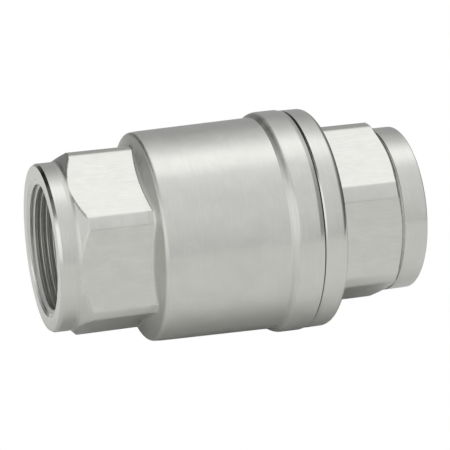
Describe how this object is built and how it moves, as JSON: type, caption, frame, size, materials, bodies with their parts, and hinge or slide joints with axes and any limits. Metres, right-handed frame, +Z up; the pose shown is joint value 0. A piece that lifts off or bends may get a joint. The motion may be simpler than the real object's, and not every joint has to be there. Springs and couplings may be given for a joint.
{
  "type": "check valve",
  "caption": "In-line spring check valve with female pipe threads: hexagonal ended steel body, screwed end cap and a spring-loaded poppet inside.",
  "frame": {"origin": "centre of the valve's bounding box, on the flow axis", "axes": "+X along the flow, from the body's inlet port to the end cap's outlet port; +Z up, with a corner of the inlet hexagon on top and two of its flats facing +Y and -Y"},
  "size_m": [0.136, 0.0816, 0.0816],
  "materials": {
    "satin_stainless": "satin cast and turned stainless steel",
    "machined_stainless": "fine turned stainless steel",
    "cast_stainless": "as-cast stainless steel",
    "spring_wire": "drawn stainless wire",
    "ptfe": "white fluoropolymer, waxy",
    "black_rubber": "black rubber"
  },
  "bodies": {
    "housing": {"valve_body": "satin_stainless", "end_cap": "satin_stainless", "body_gasket": "ptfe", "seat_ring": "machined_stainless", "seat_o_ring": "black_rubber", "outlet_guide": "cast_stainless", "guide_bush": "ptfe", "poppet_spring": "spring_wire"},
    "poppet": {"poppet_stem": "machined_stainless", "poppet_disc": "machined_stainless", "disc_seal": "ptfe", "seal_retainer": "machined_stainless", "lock_washer": "spring_wire", "retainer_nut": "machined_stainless", "spring_seat": "machined_stainless"}
  },
  "joints": [
    {"name": "poppet_lift", "type": "slide", "parent": "housing", "child": "poppet", "axis": [1, 0, 0], "range_m": [0, 0.01], "stiffness_N_per_m": 375, "springref_m": -0.01, "deforming": ["poppet_spring"]}
  ]
}
